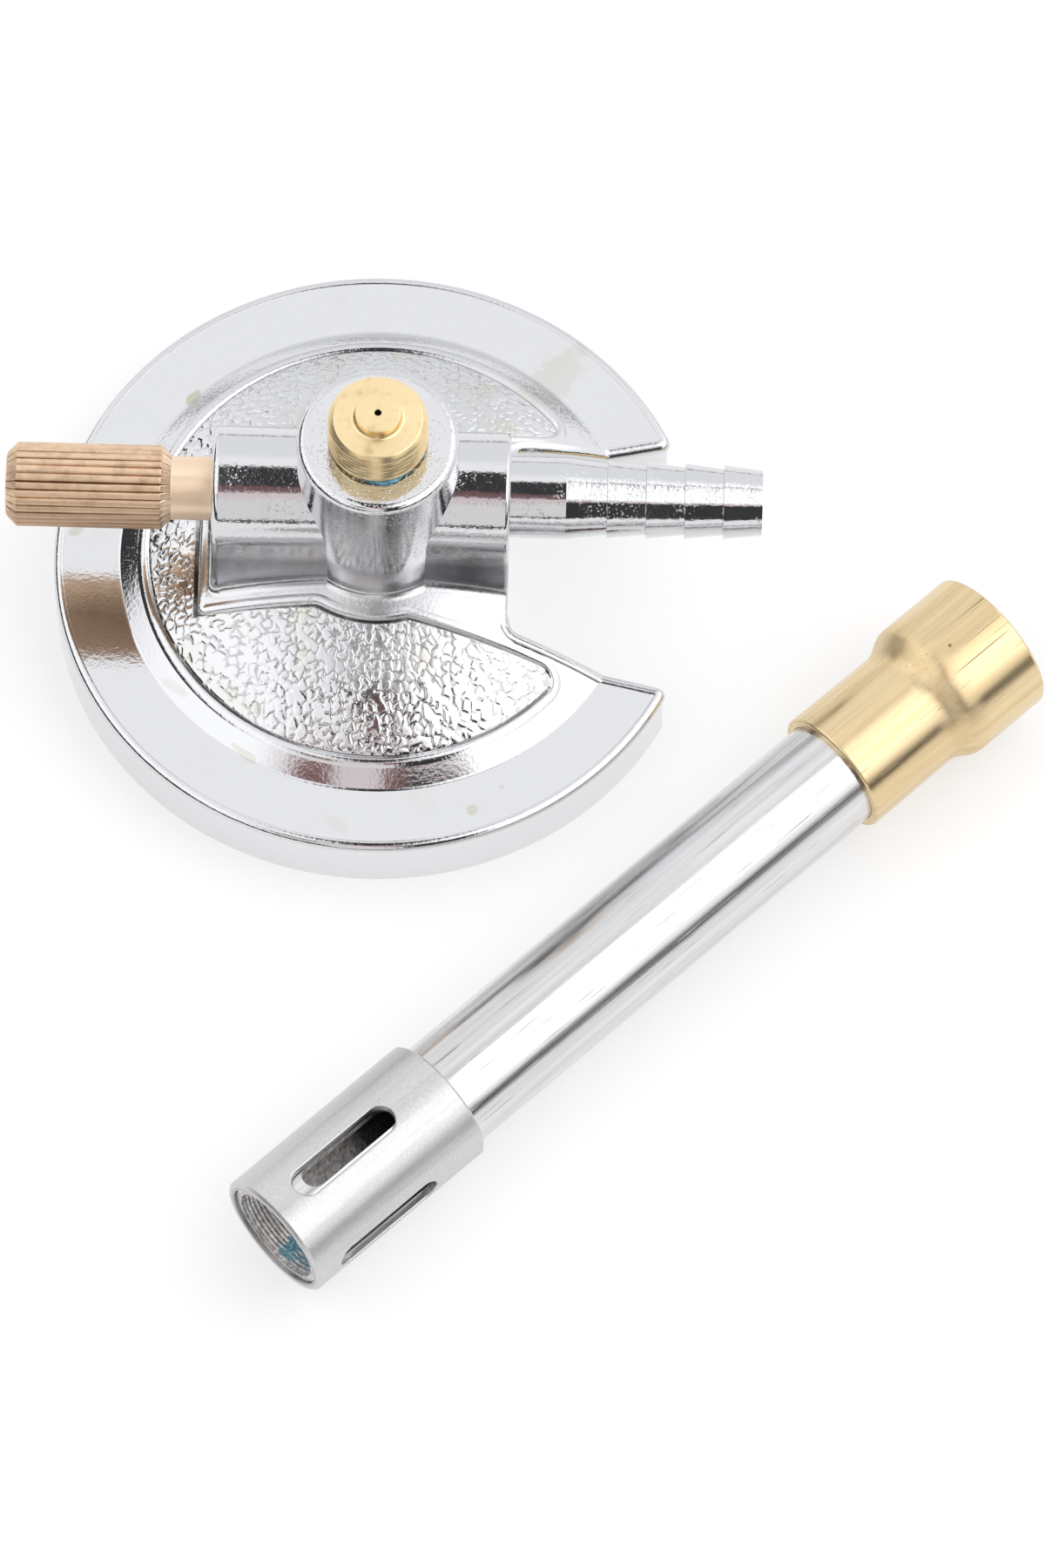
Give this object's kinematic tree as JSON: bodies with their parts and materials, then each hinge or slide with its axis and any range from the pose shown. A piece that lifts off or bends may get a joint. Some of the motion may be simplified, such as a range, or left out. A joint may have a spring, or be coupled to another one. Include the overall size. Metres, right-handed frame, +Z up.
{
  "type": "bunsen burner",
  "caption": "Laboratory gas burner taken apart: chromed base with needle valve, hose barb and brass jet, and a loose barrel with air sleeve and flared brass flame head.",
  "frame": {"origin": "middle of the foot, on the bench", "axes": "+X along the valve towards the hose barb, +Y away from the viewer, +Z up"},
  "size_m": [0.1215, 0.1312, 0.044],
  "materials": {
    "chromed_zinc": "bright chrome plate on a zinc die casting, grained in the dome's recess",
    "jet_brass": "turned",
    "blue_sealant": "cured thread sealant",
    "grip_brass": "turned, fluted, dulled",
    "seal_rubber": "moulded",
    "tube_aluminium": "drawn and brushed lengthwise",
    "satin_aluminium": "satin blasted",
    "head_brass": "spun and brushed"
  },
  "bodies": {
    "base": {"base_casting": "chromed_zinc", "jet_nipple": "jet_brass", "jet_sealant": "blue_sealant"},
    "seal": {"spindle_o_ring": "seal_rubber"},
    "spindle": {"valve_spindle": "grip_brass"},
    "barrel": {"barrel_tube": "tube_aluminium", "burner_head": "head_brass"},
    "sleeve": {"air_sleeve": "satin_aluminium"}
  },
  "joints": [
    {"name": "valve_travel", "type": "slide", "parent": "base", "child": "seal", "axis": [-1, 0, 0], "range_m": [-0.00152, 0.00227]},
    {"name": "valve_turn", "type": "hinge", "parent": "seal", "child": "spindle", "pos_m": [0, 0, 0.0244], "axis": [-1, 0, 0], "range_deg": [-720, 1080]},
    {"name": "barrel_lift", "type": "slide", "parent": "base", "child": "barrel", "axis": [0, 0, 1], "range_m": [0, 0.1]},
    {"name": "air_sleeve_turn", "type": "hinge", "parent": "barrel", "child": "sleeve", "pos_m": [-0.00936, -0.08775, 0.00782], "axis": [0.7205, 0.6934, 0.0113], "continuous": true}
  ],
  "couplings": [
    {"joint": "valve_travel", "follows": "valve_turn", "m_per_rad": 0.00011937}
  ]
}
